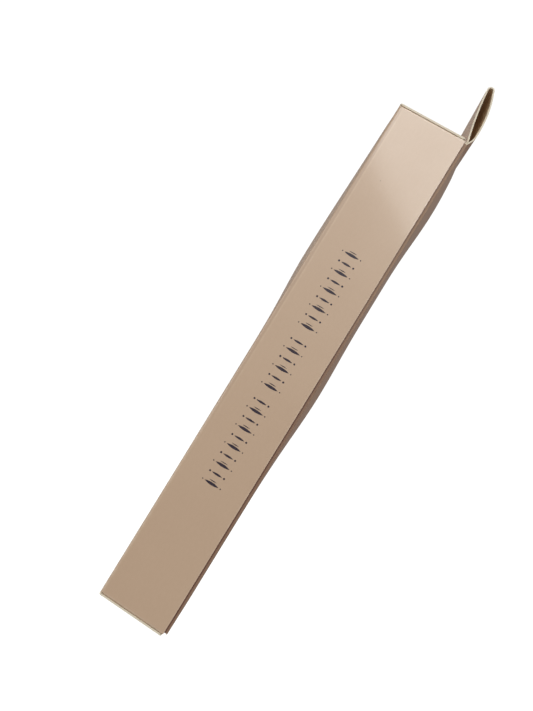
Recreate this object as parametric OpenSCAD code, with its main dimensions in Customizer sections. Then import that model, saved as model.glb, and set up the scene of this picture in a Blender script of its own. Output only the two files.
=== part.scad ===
// Boxed electric facial scrubber: a straight-tuck hang-tab carton with its inner tray,
// a folded leaflet and the handheld ultrasonic scrubber that the tray holds.
// The carton stands on its bottom closure. +Z is its length, +Y its back panel with the
// hang tab, and +X its glued narrow side.

/* [Carton] */
// Length of the closed carton, along Z
box_l = 220; // [215:1:230]
// Width of the two broad panels, along X
box_w = 64; // [63:0.5:68]
// Depth of the narrow side panels, along Y
box_d = 30; // [29.5:0.1:31]
// Thickness of the board
board_t = 0.6; // [0.5:0.05:0.6]
// Outer radius of the folds between the wall panels
fold_r = 1; // [0.9:0.05:1.2]
// How far the broad front panel bows out at its fullest
front_bow = 4.6; // [0.5:0.1:4.6]
// How far the broad back panel bows out at its fullest
back_bow = 2.6; // [0.3:0.1:2.8]

/* [Closures] */
// Length of the tuck flaps
tuck_l = 13; // [10:0.5:13]
// Inward lean of the tuck flaps from square
tuck_lean = 25; // [22:1:27]
// Length of the dust flaps
dust_l = 24; // [16:1:26]

/* [Hang tab] */
// Height of the hang tab above the carton
tab_h = 23.3; // [20:0.1:25]
// Width of the hang tab
tab_w = 60; // [40:1:60]
// Diameter of the hang hole
hang_hole_d = 8; // [6:0.5:9]

/* [Scrubber] */
// Length of the handle
handle_l = 118; // [118:1:120]
// Width of the handle
handle_w = 40; // [38:0.5:41]
// Thickness of the handle
handle_t = 17; // [16.8:0.1:17.2]
// Width of the steel blade
blade_w = 29; // [24:1:30]
// Thickness of the steel blade
blade_t = 0.8; // [0.6:0.1:1]

/* [Hidden] */
$fn = 48;
slack = 0.05;              // gap at a crease or between stacked boards
eps = 0.5;                 // overrun of a cutting tool

// colours
board_c = [0.78, 0.68, 0.58];
tray_c = [0.95, 0.95, 0.94];
shell_c = [0.94, 0.90, 0.87];
metal_c = [0.78, 0.79, 0.80];
gold_c = [0.83, 0.66, 0.50];
rubber_c = [0.55, 0.50, 0.48];

// carton faces
front_y = -box_d / 2;
back_y = box_d / 2;
side_x = box_w / 2;
flap_gap = 0.4;                              // between a closure lid and the dust flaps
dust_z = box_l - board_t - flap_gap;         // outer face of a top dust flap
panel_top = dust_z - board_t - slack;        // top edge of the narrow panels
wide_top = box_l - board_t - slack;          // top edge of the front panel
near_trim = back_y - 1.7;                    // cut edge of the glued narrow panel
lid_back = near_trim - 0.5;                  // centre of the bend into the tuck flap
lid_w = box_w - 0.2;
glue_x = side_x - board_t - slack;           // outer face of the glue flap
glue_l = 13;                                 // width of the glue flap
strip_l = 23;                                // length of the hang tab's glued end
tuck_w = 60;
tuck_start = 0.8;                            // from the bend's centre to the tuck flap
dust_taper = 0.5;                            // slant of a dust flap's lid-side edge
dust_back = 25;                              // back corner of a dust flap at its root
dust_lead = 1.6;                             // back edge's run-in at its tip

// hang tab, heights above the crease
tab_steps = 16;
hole_h = 12.5;                               // height of the hang hole

// tray
tray_x = 29.5;
tray_y0 = front_y + 1.6;
tray_y1 = tray_y0 + 22;
tray_step_y = 6.6;                           // back of the tray beside the tuck flap
tray_z0 = 1.7;
tray_z1 = 204;
tray_t = 0.8;
pocket_y = 5.8;                              // inner face of the pocket's floor

// handle
hz0 = 8;                                     // lower end of the handle
hz1 = hz0 + handle_l;
dy0 = -11.6;                                 // front face of the handle
dy1 = dy0 + handle_t;                        // back face of the handle
dyc = (dy0 + dy1) / 2;                       // parting plane
shell_t = 1.6;
band_t = 1;
end_r = 14;                                  // corner radius at the handle's lower end
head_r = 8;                                  // corner radius at its head
power_z = 66;
mode_z = 48;
power_d = 10;
mode_d = 8;
button_gap = 0.2;
button_proud = 0.4;
button_flange = 0.8;
pipe_z = 82;
pipe_w = 12;
pipe_h = 2;
screw_x = handle_w / 2 - 5;
screw_zs = [30, hz1 - 14];
boss_r = 2.4;
socket_w = 9;
socket_h = 3.2;
socket_y = -6;                               // centre of the charging socket

// transducer, on an axis along Z
horn_z0 = 110;
piezo_t = 2.2;
washer_t = 0.3;
stack_r = 6;
tail_l = 7;
bolt_r = 2;
seal_z1 = hz1 + 4;
blade_z0 = horn_z0 + 5;
blade_z1 = hz1 + 34;
tang_w = 16;

// board and battery
pcb_y0 = -7.4;
pcb_t = 1.2;
pcb_z0 = 20;
pcb_z1 = 94;
cell_y0 = -2.2;
cell_y1 = dy1 - shell_t - 0.4;
cell_z0 = 36;
cell_z1 = 86;

// cap
cap_x = 18.5;
cap_y = 5;
cap_z0 = seal_z1 + 0.6;
cap_z1 = blade_z1 + 4;

// ---------------------------------------------------------------- helpers

// a box between two corners
module span(a, b) translate(a) cube([b[0] - a[0], b[1] - a[1], b[2] - a[2]]);

// a rounded rectangle centred on the origin, with its own radius at each end
module rounded(w, h, r0, r1) {
    for (s = [-1, 1]) {
        translate([s * (w / 2 - r0), -h / 2 + r0]) circle(r0);
        translate([s * (w / 2 - r1), h / 2 - r1]) circle(r1);
    }
    translate([-w / 2, -h / 2 + r0]) square([w, h - r0 - r1]);
    translate([-w / 2 + r0, -h / 2]) square([w - 2 * r0, r0 + eps]);
    translate([-w / 2 + r1, h / 2 - r1 - eps]) square([w - 2 * r1, r1 + eps]);
}

// stands an XZ outline up and pushes it from y0 to y1
module push_y(y0, y1) translate([0, y1, 0]) rotate([90, 0, 0]) linear_extrude(y1 - y0) children();

// a quarter ring in plan, for the fold between two wall panels
module fold_ring(cx, cy, sx, sy) translate([cx, cy]) intersection() {
    difference() {
        circle(fold_r);
        circle(fold_r - board_t);
    }
    scale([sx, sy]) square(fold_r + eps);
}

// puts a part drawn at the top closure at the bottom one as well
module at_bottom() translate([0, 0, box_l]) mirror([0, 0, 1]) children();

// rise of a bow from the ends of a panel
function ends(z) = sin(90 * min(1, min(z, box_l - z) / 8));
function bump(z, mid, half) = exp(-pow((z - mid * box_l) / (half * box_l), 2));
function bow_front(z) = ends(z) * front_bow
    * (0.39 + 0.61 * bump(z, 0.705, z < 0.705 * box_l ? 0.136 : 0.273));
function bow_back(z) = ends(z) * back_bow
    * (0.08 + 0.72 * bump(z, 0.486, 0.127) + 0.34 * bump(z, 0.70, 0.114)
        + 0.92 * bump(z, 0.909, 0.109));

// heights at which a bowed sheet is drawn, closer together near its ends
sheet_grid = concat([1.5, 3, 5], [for (i = [0:30]) 8 + (box_l - 16) * i / 30],
    [box_l - 5, box_l - 3, box_l - 1.5]);

// a bowed sheet of board; face is the flat outer face it bows out from, along -Y
module bowed_sheet(x0, x1, z0, z1, span_x0, span_x1, face, bow) {
    nx = 10;
    zs = concat([z0], [for (z = sheet_grid) if (z > z0 + 0.5 && z < z1 - 0.5) z], [z1]);
    nz = len(zs) - 1;
    mid = (span_x0 + span_x1) / 2;
    half = (span_x1 - span_x0) / 2;
    w = nx + 1;
    layer = w * (nz + 1);
    function at(i, j, inner) =
        let (x = x0 + (x1 - x0) * i / nx, z = zs[j], u = (x - mid) / half)
        [x, face - bow(z) * (1 - u * u) + inner * board_t, z];
    points = [for (inner = [0, 1], j = [0:nz], i = [0:nx]) at(i, j, inner)];
    faces = concat(
        [for (j = [0:nz - 1], i = [0:nx - 1], k = [0, 1]) let (a = j * w + i)
            k == 0 ? [a, a + w, a + w + 1] : [a, a + w + 1, a + 1]],
        [for (j = [0:nz - 1], i = [0:nx - 1], k = [0, 1]) let (a = layer + j * w + i)
            k == 0 ? [a, a + w + 1, a + w] : [a, a + 1, a + w + 1]],
        [for (j = [0:nz - 1], s = [0, 1], k = [0, 1])
            let (a = j * w + s * nx, b = a + w, c = b + layer, d = a + layer)
            k == 0 ? (s == 0 ? [a, d, c] : [a, c, d]) : (s == 0 ? [a, c, b] : [a, b, c])],
        [for (i = [0:nx - 1], s = [0, 1], k = [0, 1])
            let (a = s * nz * w + i, b = a + 1, c = b + layer, d = a + layer)
            k == 0 ? (s == 0 ? [a, b, c] : [a, c, b]) : (s == 0 ? [a, c, d] : [a, d, c])]
    );
    polyhedron(points, faces, convexity = 6);
}

// a strip of board along a line of [y, z] points
function unit(v) = v / norm(v);
function side(p, i) =
    let (a = p[max(0, i - 1)], b = p[min(len(p) - 1, i + 1)], d = unit(b - a))
    [-d[1], d[0]];
function strip(p, t) = concat(
    [for (i = [0:len(p) - 1]) p[i] + side(p, i) * t / 2],
    [for (i = [len(p) - 1:-1:0]) p[i] - side(p, i) * t / 2]);

// pushes a YZ outline along X, centred
module push_x(w) rotate([90, 0, 90]) translate([0, 0, -w / 2]) linear_extrude(w) children();

// ---------------------------------------------------------------- carton walls

module front_panel() color(board_c)
    bowed_sheet(-side_x + fold_r, side_x - fold_r, box_l - wide_top, wide_top,
        -side_x + fold_r, side_x - fold_r, front_y, function(z) bow_front(z));

module back_sheet(x0, x1, z0, z1, inset) mirror([0, 1, 0])
    bowed_sheet(x0, x1, z0, z1, -side_x + fold_r, glue_x - fold_r, -back_y + inset,
        function(z) bow_back(z));

module back_panel() color(board_c)
    back_sheet(-side_x + fold_r, glue_x - fold_r, flap_gap, box_l - slack, 0);

module tab_glue_strip() color(board_c)
    back_sheet(-tab_w / 2 + 0.5, tab_w / 2 - 0.5, box_l - strip_l, box_l - slack,
        board_t + 3 * slack);

module narrow_wall() translate([0, 0, box_l - panel_top])
    linear_extrude(2 * panel_top - box_l) children();

module near_side_panel() color(board_c) narrow_wall() {
    translate([side_x - board_t, front_y + fold_r])
        square([board_t, near_trim - front_y - fold_r]);
    fold_ring(side_x - fold_r, front_y + fold_r, 1, -1);
}

module far_side_panel() color(board_c) narrow_wall() {
    translate([-side_x, front_y + fold_r]) square([board_t, box_d - 2 * fold_r]);
    fold_ring(-side_x + fold_r, front_y + fold_r, -1, -1);
    fold_ring(-side_x + fold_r, back_y - fold_r, -1, 1);
}

module glue_flap() color(board_c) narrow_wall() {
    translate([glue_x - board_t, back_y - fold_r - glue_l]) square([board_t, glue_l]);
    fold_ring(glue_x - fold_r, back_y - fold_r, 1, 1);
}

// ---------------------------------------------------------------- closures

module lid() {
    span([-lid_w / 2, front_y, box_l - board_t], [lid_w / 2, lid_back, box_l]);
    translate([-lid_w / 2, lid_back, box_l - board_t / 2]) rotate([0, 90, 0])
        cylinder(h = lid_w, d = board_t);
}

// the tuck flap hangs from the lid's bend and leans in towards the front
module tuck_flap() translate([0, lid_back, box_l - board_t / 2]) rotate([-tuck_lean, 0, 0])
    translate([0, board_t / 2, 0]) rotate([90, 0, 0]) linear_extrude(board_t)
        polygon([
            [-tuck_w / 2, -tuck_start], [tuck_w / 2, -tuck_start],
            [tuck_w / 2 - 1, -tuck_l + 4], [tuck_w / 2 - 4, -tuck_l],
            [-tuck_w / 2 + 4, -tuck_l], [-tuck_w / 2 + 1, -tuck_l + 4]
        ]);

// a dust flap, folded in from the top of the narrow side at +X
module dust_flap() {
    root = front_y + 0.9;
    tip = front_y + 0.6 + dust_taper * dust_l;
    translate([0, 0, dust_z - board_t]) linear_extrude(board_t)
        polygon([
            [side_x, root], [side_x, front_y + dust_back],
            [side_x - dust_l, front_y + dust_back - dust_lead],
            [side_x - dust_l, tip + 2], [side_x - dust_l + 3, tip - 1.2],
            [side_x - 1, root]
        ]);
}

module top_lid() color(board_c) lid();
module top_tuck_flap() color(board_c) tuck_flap();
module top_dust_flap_near() color(board_c) dust_flap();
module top_dust_flap_far() color(board_c) mirror([1, 0, 0]) dust_flap();
module bottom_lid() color(board_c) at_bottom() lid();
module bottom_tuck_flap() color(board_c) at_bottom() tuck_flap();
module bottom_dust_flap_near() color(board_c) at_bottom() dust_flap();
module bottom_dust_flap_far() color(board_c) at_bottom() mirror([1, 0, 0]) dust_flap();

// ---------------------------------------------------------------- hang tab

// heights run from the crease up to the tip; each ply is a line of [y, z] points
fold_h = tab_h - 1.6;                        // where the plies run into the folded tip
root_h = -0.4;                               // the plies are drawn from here and cut level
function front_y_at(h) = back_y - 0.4 - 0.267 * h + 0.0039 * h * h;
function back_y_at(h) = back_y + 0.35 + 1.05 * (1 - exp(-h / 1.5))
    - 3.8 * pow(max(h, 0) / 22.7, 2.8);
front_line = [for (i = [0:tab_steps]) let (h = root_h + (fold_h - root_h) * i / tab_steps)
    [front_y_at(h), box_l + h]];
tip_mid = (front_y_at(fold_h) + back_y_at(fold_h)) / 2;
tip_half = (back_y_at(fold_h) - front_y_at(fold_h)) / 2;
back_line = concat(
    [for (i = [0:tab_steps]) let (h = root_h + (fold_h - root_h) * i / tab_steps)
        [back_y_at(h), box_l + h]],
    [for (a = [20:20:160]) [tip_mid + tip_half * cos(a), box_l + fold_h + 1.3 * sin(a)]]);

// the hole is punched square to the plies, which lean forward
hole_lean = 9.4;
hole_y = (front_y_at(hole_h) + back_y_at(hole_h)) / 2;
module hang_hole() translate([0, hole_y, box_l + hole_h]) rotate([hole_lean - 90, 0, 0])
    cylinder(h = box_d, d = hang_hole_d, center = true);

// one ply of the tab, cut level just above the crease and punched
module ply(line) color(board_c) difference() {
    push_x(tab_w) polygon(strip(line, board_t));
    span([-tab_w, 0, box_l - 3], [tab_w, box_d, box_l + slack]);
    hang_hole();
}

module hang_tab_back_ply() ply(back_line);
module hang_tab_front_ply() ply(front_line);

// ---------------------------------------------------------------- tray and leaflet

// outline of the tray's pocket: handle, cap with room to slide off, and finger notches
module pocket(grow) {
    low = hz0 - 1.2 - grow;
    high = hz1 + 1.2 + grow;
    translate([0, (low + high) / 2])
        rounded(handle_w + 2.4 + 2 * grow, high - low, end_r + grow, head_r + grow);
    top = tray_z1 - tray_t - 0.4 + grow;
    translate([0, (hz1 - 10 + top) / 2])
        rounded(2 * cap_x + 2 + 2 * grow, top - hz1 + 10, 4 + grow, 4 + grow);
    translate([0, 72]) rounded(54 + 2 * grow, 24 + 2 * grow, 10 + grow, 10 + grow);
}

module inner_tray() color(tray_c) difference() {
    union() {
        span([-tray_x, tray_y0, tray_z0], [tray_x, tray_step_y, tray_z1]);
        span([-tray_x, tray_step_y - eps, 16], [tray_x, tray_y1, tray_z1]);
    }
    push_y(tray_y0 - eps, pocket_y) pocket(0);
    difference() {
        span([-tray_x + tray_t, tray_y0 + tray_t, tray_z0 + tray_t],
            [tray_x - tray_t, tray_y1 + eps, tray_z1 - tray_t]);
        push_y(tray_y0, pocket_y + tray_t) pocket(tray_t);
        span([-tray_x, pocket_y, tray_z0], [tray_x, tray_step_y, 16]);
    }
}

// a leaflet folded twice, three leaves thick
module user_leaflet() color("white")
    for (i = [0:2]) span([-26, tray_y1 + 0.5 + 0.5 * i, 22 + 2 * i],
        [26, tray_y1 + 0.5 + 0.5 * (i + 1), 192]);

// ---------------------------------------------------------------- handle shells

module handle_outline(inset) translate([0, (hz0 + hz1) / 2])
    rounded(handle_w - 2 * inset, handle_l - 2 * inset, end_r - inset, head_r - inset);

// the head opening, where the seal holds the blade
module head_opening() span([-15, dyc - 4.2, hz1 - 12], [15, dyc + 4.2, hz1 + eps]);

module screw_places() for (z = screw_zs, s = [-1, 1]) translate([s * screw_x, 0, z])
    rotate([-90, 0, 0]) children();

module socket_cut() span([-socket_w / 2 - 0.2, socket_y - socket_h / 2 - 0.2, hz0 - eps],
    [socket_w / 2 + 0.2, socket_y + socket_h / 2 + 0.2, hz0 + shell_t + eps]);

module front_shell() color(shell_c) difference() {
    union() {
        difference() {
            push_y(dy0, dyc - band_t / 2) handle_outline(0);
            push_y(dy0 + shell_t, dyc) handle_outline(shell_t);
        }
        screw_places() translate([0, 0, dy0 + shell_t - eps])
            cylinder(h = dyc - band_t / 2 - dy0 - shell_t + eps, r = boss_r);
    }
    screw_places() translate([0, 0, dyc - 6]) cylinder(h = 8, r = 1);
    push_y(dy0 - eps, dy0 + shell_t + eps) {
        translate([0, power_z]) circle(power_d / 2 + button_gap);
        translate([0, mode_z]) circle(mode_d / 2 + button_gap);
        translate([0, pipe_z]) square([pipe_w + 0.2, pipe_h + 0.2], center = true);
    }
    head_opening();
    socket_cut();
}

module rear_shell() color(shell_c) difference() {
    union() {
        difference() {
            push_y(dyc + band_t / 2, dy1) handle_outline(0);
            push_y(dyc, dy1 - shell_t) handle_outline(shell_t);
        }
        screw_places() translate([0, 0, dyc + band_t / 2])
            cylinder(h = dy1 - dyc - band_t / 2 - shell_t + eps, r = boss_r);
    }
    screw_places() translate([0, 0, dyc]) cylinder(h = handle_t, r = 1.15);
    screw_places() translate([0, 0, dy1 - 1.6]) cylinder(h = 3, r = 2);
    head_opening();
    push_y(dy1 - 0.6, dy1 + eps) translate([0, 60]) rounded(18, 50, 6, 6);
}

// the metal band between the shells, open at the head
module trim_band() color(gold_c) difference() {
    push_y(dyc - band_t / 2, dyc + band_t / 2) handle_outline(0.3);
    push_y(dyc - band_t, dyc + band_t) handle_outline(shell_t);
    head_opening();
}

// the touch plate let into the back of the handle
module hand_contact_plate() color(metal_c)
    push_y(dy1 - 0.6, dy1 - 0.1) translate([0, 60]) rounded(17.8, 49.8, 5.9, 5.9);

module shell_screws() color(metal_c) screw_places() {
    translate([0, 0, dyc - 5.5]) cylinder(h = dy1 - 1.6 - dyc + 5.5, r = 0.95);
    difference() {
        translate([0, 0, dy1 - 1.6]) cylinder(h = 1.2, r = 1.8);
        translate([-0.25, -1.2, dy1 - 0.9]) cube([0.5, 2.4, 1]);
        translate([-1.2, -0.25, dy1 - 0.9]) cube([2.4, 0.5, 1]);
    }
}

// ---------------------------------------------------------------- blade and transducer

module axis_cylinder(z0, z1, r) translate([0, dyc, z0]) cylinder(h = z1 - z0, r = r);

module blade_slot(w, t, z0, z1) span([-w / 2, dyc - t / 2, z0], [w / 2, dyc + t / 2, z1]);

// soft seal in the head, with a slot for the blade and a lip outside
module head_seal() color(rubber_c) difference() {
    union() {
        span([-14.9, dyc - 4.1, hz1 - 3], [14.9, dyc + 4.1, hz1]);
        translate([0, 0, hz1]) linear_extrude(seal_z1 - hz1)
            translate([0, dyc]) rounded(34, 12, 4, 4);
    }
    blade_slot(blade_w + 0.2, blade_t + 0.2, hz1 - 4, seal_z1 + eps);
}

// the blade narrows to a tang that is clamped in the horn
module scrubber_blade() color(metal_c) push_y(dyc - blade_t / 2, dyc + blade_t / 2) {
    difference() {
        translate([0, (hz1 - 4 + blade_z1) / 2])
            rounded(blade_w, blade_z1 - hz1 + 4, 2, 5);
        translate([-blade_w / 2 - eps, hz1 - 9]) square([blade_w + 1, 5.5]);
    }
    translate([-tang_w / 2, blade_z0]) square([tang_w, hz1 - 3 - blade_z0]);
}

// aluminium block that carries the vibration from the discs to the blade
module blade_horn() color(metal_c) difference() {
    union() {
        axis_cylinder(horn_z0, horn_z0 + 3, stack_r);
        span([-9, dyc - 3.6, horn_z0 + 2], [9, dyc + 3.6, hz1 - 4.2]);
    }
    blade_slot(18 + eps, blade_t + 0.04, blade_z0, hz1);
    axis_cylinder(horn_z0 - eps, horn_z0 + 4, bolt_r + 0.02);
}

module disc(z, h, r, hole) difference() {
    axis_cylinder(z, z + h, r);
    axis_cylinder(z - eps, z + h + eps, hole);
}

piezo_z = horn_z0 - 2 * piezo_t - washer_t;

module piezo_discs() color("dimgray") {
    disc(piezo_z, piezo_t, stack_r - 0.2, 2.4);
    disc(piezo_z + piezo_t + washer_t, piezo_t, stack_r - 0.2, 2.4);
}

module electrode_washer() color("goldenrod") {
    disc(piezo_z + piezo_t, washer_t, stack_r - 0.2, 2.4);
    span([-1, dyc - stack_r - 0.6, piezo_z + piezo_t],
        [1, dyc - stack_r + 1.5, piezo_z + piezo_t + washer_t]);
}

module tail_mass() color(metal_c) disc(piezo_z - tail_l, tail_l, stack_r, bolt_r + 0.1);

module transducer_bolt() color("gray") {
    axis_cylinder(piezo_z - tail_l - 0.01, horn_z0 + 3.8, bolt_r);
    axis_cylinder(piezo_z - tail_l - 2.6, piezo_z - tail_l, 3.4);
}

// rubber ring that holds the horn in the shells and keeps the vibration off them
module damping_ring() color(rubber_c) difference() {
    span([-11, dy0 + shell_t, horn_z0 + 3.2], [11, dy1 - shell_t, horn_z0 + 6]);
    span([-9, dyc - 3.6, horn_z0], [9, dyc + 3.6, horn_z0 + 8]);
}

// ---------------------------------------------------------------- electrics

module circuit_board() color("seagreen") difference() {
    span([-12, pcb_y0, pcb_z0], [12, pcb_y0 + pcb_t, pcb_z1]);
    for (s = [-1, 1]) translate([s * 9.5, pcb_y0 - eps, pcb_z0 + 4]) rotate([-90, 0, 0])
        cylinder(h = pcb_t + 1, r = 1.1);
}

module drive_transformer() color("darkorange") {
    span([-6, pcb_y0 + pcb_t, pcb_z1 - 7.8], [6, pcb_y0 + pcb_t + 1, pcb_z1]);
    span([-4.5, pcb_y0 + pcb_t + 1, pcb_z1 - 7], [4.5, pcb_y0 + pcb_t + 5, pcb_z1 - 0.8]);
}

switch_h = 1.2;
module tact_switches() color("black") for (z = [power_z, mode_z]) {
    span([-3, pcb_y0 - switch_h + 0.3, z - 3], [3, pcb_y0, z + 3]);
    translate([0, pcb_y0 - switch_h, z]) rotate([-90, 0, 0]) cylinder(h = 0.5, r = 1.5);
}

module indicator_leds() color("white") for (i = [-1:1])
    span([i * 4 - 0.8, pcb_y0 - 0.7, pipe_z - 0.8], [i * 4 + 0.8, pcb_y0, pipe_z + 0.8]);

module light_pipe() color("lightblue") {
    push_y(dy0 - 0.05, dy0 + shell_t) translate([0, pipe_z])
        square([pipe_w, pipe_h], center = true);
    push_y(dy0 + shell_t, dy0 + shell_t + 0.8) translate([0, pipe_z])
        square([pipe_w + 2, pipe_h + 2], center = true);
}

// a flat charging socket, open at the handle's lower end
module charging_socket() color(metal_c) difference() {
    span([-socket_w / 2, socket_y - socket_h / 2, hz0 + 0.2],
        [socket_w / 2, socket_y + socket_h / 2, hz0 + 8]);
    span([-socket_w / 2 + 0.3, socket_y - socket_h / 2 + 0.3, hz0 - eps],
        [socket_w / 2 - 0.3, socket_y + socket_h / 2 - 0.3, hz0 + 6.5]);
}

// a round key with a flange behind the shell
module push_button(z, d) color(gold_c) translate([0, 0, z]) rotate([-90, 0, 0]) {
    translate([0, 0, dy0 - button_proud])
        cylinder(h = shell_t + button_proud + slack + 0.1, d = d);
    translate([0, 0, dy0 + shell_t + slack]) cylinder(h = button_flange, d = d + 2);
}

module power_button() push_button(power_z, power_d);
module mode_button() push_button(mode_z, mode_d);

module battery_cell() color("lightslategray")
    span([-15, cell_y0, cell_z0], [15, cell_y1, cell_z1]);

module battery_pad() color("white")
    span([-13, cell_y1, cell_z0 + 4], [13, dy1 - shell_t, cell_z1 - 4]);

// a point on the curve from p[0] to p[3] that p[1] and p[2] pull towards them
function cubic(p, u) = pow(1 - u, 3) * p[0] + 3 * u * pow(1 - u, 2) * p[1]
    + 3 * u * u * (1 - u) * p[2] + pow(u, 3) * p[3];

// an insulated wire at x that follows the curve of p
module wire(x, p, r) {
    rings = 12;
    sides = 8;
    line = [for (i = [0:rings]) cubic(p, i / rings)];
    points = [for (i = [0:rings], k = [0:sides - 1])
        let (n = side(line, i), a = 360 * k / sides)
        [x + r * cos(a), line[i][0] + r * sin(a) * n[0], line[i][1] + r * sin(a) * n[1]]];
    function v(i, k) = i * sides + k % sides;
    faces = concat(
        [for (i = [0:rings - 1], k = [0:sides - 1]) [v(i, k), v(i, k + 1), v(i + 1, k + 1)]],
        [for (i = [0:rings - 1], k = [0:sides - 1]) [v(i, k), v(i + 1, k + 1), v(i + 1, k)]],
        [[for (k = [sides - 1:-1:0]) v(0, k)], [for (k = [0:sides - 1]) v(rings, k)]]);
    polyhedron(points, faces, convexity = 4);
}

pcb_back = pcb_y0 + pcb_t + slack;
module battery_leads() color("firebrick") for (x = [-4, 4])
    wire(x, [[0.6, cell_z0 - 0.1], [0.6, cell_z0 - 9], [-2, cell_z0 - 9],
        [pcb_back, cell_z0 - 9]], 0.45);

module transducer_leads() color("royalblue") for (x = [-6.6, 6.6])
    wire(x, [[pcb_back, pcb_z1 - 2], [dyc, pcb_z1 - 2], [dyc, pcb_z1 + 2],
        [dyc, horn_z0 - 2]], 0.45);

// ---------------------------------------------------------------- protective cap

// slips over the blade and butts on the head seal
module protective_cap() color([0.9, 0.93, 0.95]) difference() {
    push_y(dyc - cap_y, dyc + cap_y) translate([0, (cap_z0 + cap_z1) / 2])
        rounded(2 * cap_x, cap_z1 - cap_z0, 3, 8);
    blade_slot(blade_w + 1.6, 3, cap_z0 - eps, blade_z1 + 1.4);
}

front_panel();
back_panel();
near_side_panel();
far_side_panel();
glue_flap();
tab_glue_strip();
top_lid();
top_tuck_flap();
top_dust_flap_near();
top_dust_flap_far();
bottom_lid();
bottom_tuck_flap();
bottom_dust_flap_near();
bottom_dust_flap_far();
hang_tab_back_ply();
hang_tab_front_ply();
inner_tray();
user_leaflet();
front_shell();
rear_shell();
trim_band();
head_seal();
scrubber_blade();
blade_horn();
piezo_discs();
electrode_washer();
tail_mass();
transducer_bolt();
damping_ring();
battery_cell();
battery_pad();
circuit_board();
drive_transformer();
tact_switches();
indicator_leds();
light_pipe();
charging_socket();
power_button();
mode_button();
battery_leads();
transducer_leads();
hand_contact_plate();
shell_screws();
protective_cap();
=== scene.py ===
import math
import random

import bmesh
import bpy
import numpy as np
from mathutils import Matrix, Quaternion, Vector

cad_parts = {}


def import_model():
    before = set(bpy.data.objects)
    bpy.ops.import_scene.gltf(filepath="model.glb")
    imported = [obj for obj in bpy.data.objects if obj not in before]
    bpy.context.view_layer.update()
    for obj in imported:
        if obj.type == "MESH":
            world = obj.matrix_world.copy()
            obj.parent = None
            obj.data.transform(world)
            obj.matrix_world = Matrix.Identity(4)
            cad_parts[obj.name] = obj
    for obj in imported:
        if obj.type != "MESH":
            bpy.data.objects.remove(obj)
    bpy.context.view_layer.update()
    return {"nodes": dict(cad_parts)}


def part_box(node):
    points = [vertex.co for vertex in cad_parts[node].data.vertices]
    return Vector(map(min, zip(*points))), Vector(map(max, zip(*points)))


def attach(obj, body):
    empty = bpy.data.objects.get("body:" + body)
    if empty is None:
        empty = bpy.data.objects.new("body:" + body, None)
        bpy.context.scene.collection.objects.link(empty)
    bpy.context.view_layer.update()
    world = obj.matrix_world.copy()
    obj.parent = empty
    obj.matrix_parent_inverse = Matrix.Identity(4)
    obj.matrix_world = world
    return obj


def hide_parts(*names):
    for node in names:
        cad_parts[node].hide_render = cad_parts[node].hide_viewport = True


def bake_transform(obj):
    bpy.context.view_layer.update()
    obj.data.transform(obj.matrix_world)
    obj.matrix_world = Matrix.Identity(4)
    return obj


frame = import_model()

NODES = frame["nodes"]
MM = 0.001
L = 220.0                               # carton length, mm, as are all sizes here
T = 0.6                                 # board thickness
SLACK = 0.05                            # between boards that lie on each other
FOLD = 1.0                              # outer radius of a long fold
SIDE = 32.0                             # half the carton's width
BACK = 15.0                             # half its depth
FRONT_BOW, BACK_BOW = 4.6, 2.6          # how far the broad panels bow out
FLAP_X = SIDE - T - SLACK               # outer face of the glue flap
BACK_HALF = (SIDE + FLAP_X) / 2 - FOLD  # half the back panel's width between its folds
BACK_MID = (FLAP_X - SIDE) / 2          # and its middle
LID_HALF, LID_T = 31.9, 0.75            # a lid's half width and thickness
LID_BEND = 0.8                          # outer radius of the crease between front panel and lid
TUCK_BEND, TUCK_Y = 0.6, 12.75          # radius and centre of the crease between lid and tuck flap
TUCK_LEAN = 25                          # degrees by which a tuck flap leans inwards
DUST_BEND, DUST_Z = 0.62, 219.2         # radius of a dust flap's crease, and its outer face
NARROW_TOP = DUST_Z - DUST_BEND         # where a narrow wall ends
TAB_HALF = 30.0                         # half the hang tab's width


# ------------------------------------------------------------------ materials

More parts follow.
